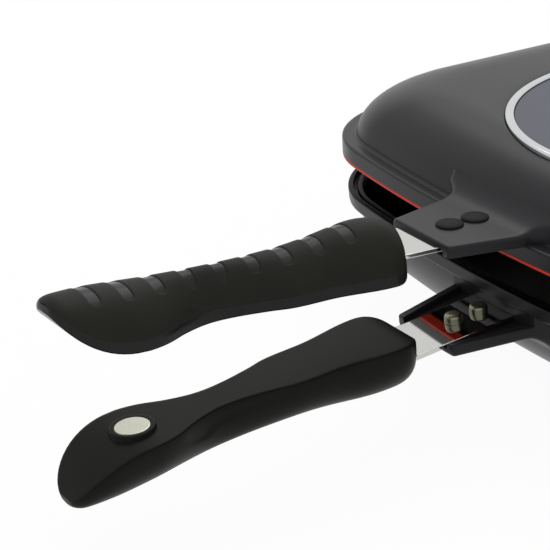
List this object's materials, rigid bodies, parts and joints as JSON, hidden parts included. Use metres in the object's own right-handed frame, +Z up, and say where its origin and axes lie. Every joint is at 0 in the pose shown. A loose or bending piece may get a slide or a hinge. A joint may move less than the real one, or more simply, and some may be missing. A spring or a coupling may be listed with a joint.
{
  "type": "double sided flip pan",
  "caption": "Rectangular double sided flip pan: two hinged cast halves with a seal between them, each with a riveted steel tang and a moulded handle.",
  "frame": {"origin": "centre of the flat round base of the lower half, on the surface the pan stands on", "axes": "+X along the hinge, +Y from the handles to the hinge, +Z up"},
  "size_m": [0.32, 0.4609, 0.1126],
  "materials": {
    "coated_cast": "cast aluminium with a satin charcoal non-stick coating",
    "seal": "red silicone, matt",
    "ring_chrome": "polished chrome",
    "disc": "dark slate blue, satin",
    "tang_steel": "polished stainless steel",
    "rivet_metal": "bright steel",
    "cap_black": "black, glossy",
    "handle_gloss": "black phenolic moulding, semi gloss",
    "core_gloss": "black phenolic moulding, glossy",
    "sleeve_soft": "black soft-touch rubber, matt",
    "magnet": "nickel plated, bright",
    "pin_steel": "plain steel"
  },
  "bodies": {
    "lower_half": {"lower_pan": "coated_cast", "lower_tang": "tang_steel", "lower_rivets": "rivet_metal", "lower_rivet_caps": "cap_black", "lower_handle_shell": "handle_gloss", "lower_handle_grip": "handle_gloss", "lower_magnet": "magnet", "hinge_pin": "pin_steel", "hinge_clip": "pin_steel", "hinge_washers": "pin_steel"},
    "upper_half": {"upper_pan": "coated_cast", "upper_tang": "tang_steel", "upper_rivets": "rivet_metal", "upper_rivet_caps": "cap_black", "upper_handle_shell": "handle_gloss", "upper_handle_core": "core_gloss", "upper_handle_sleeve": "sleeve_soft", "upper_magnet": "magnet", "gasket": "seal", "lid_ring": "ring_chrome", "lid_disc": "disc"}
  },
  "joints": [
    {"name": "pan_hinge", "type": "hinge", "parent": "lower_half", "child": "upper_half", "pos_m": [0, 0.128, 0.0505], "axis": [-1, 0, 0], "range_deg": [-4.3, 175.7]}
  ]
}
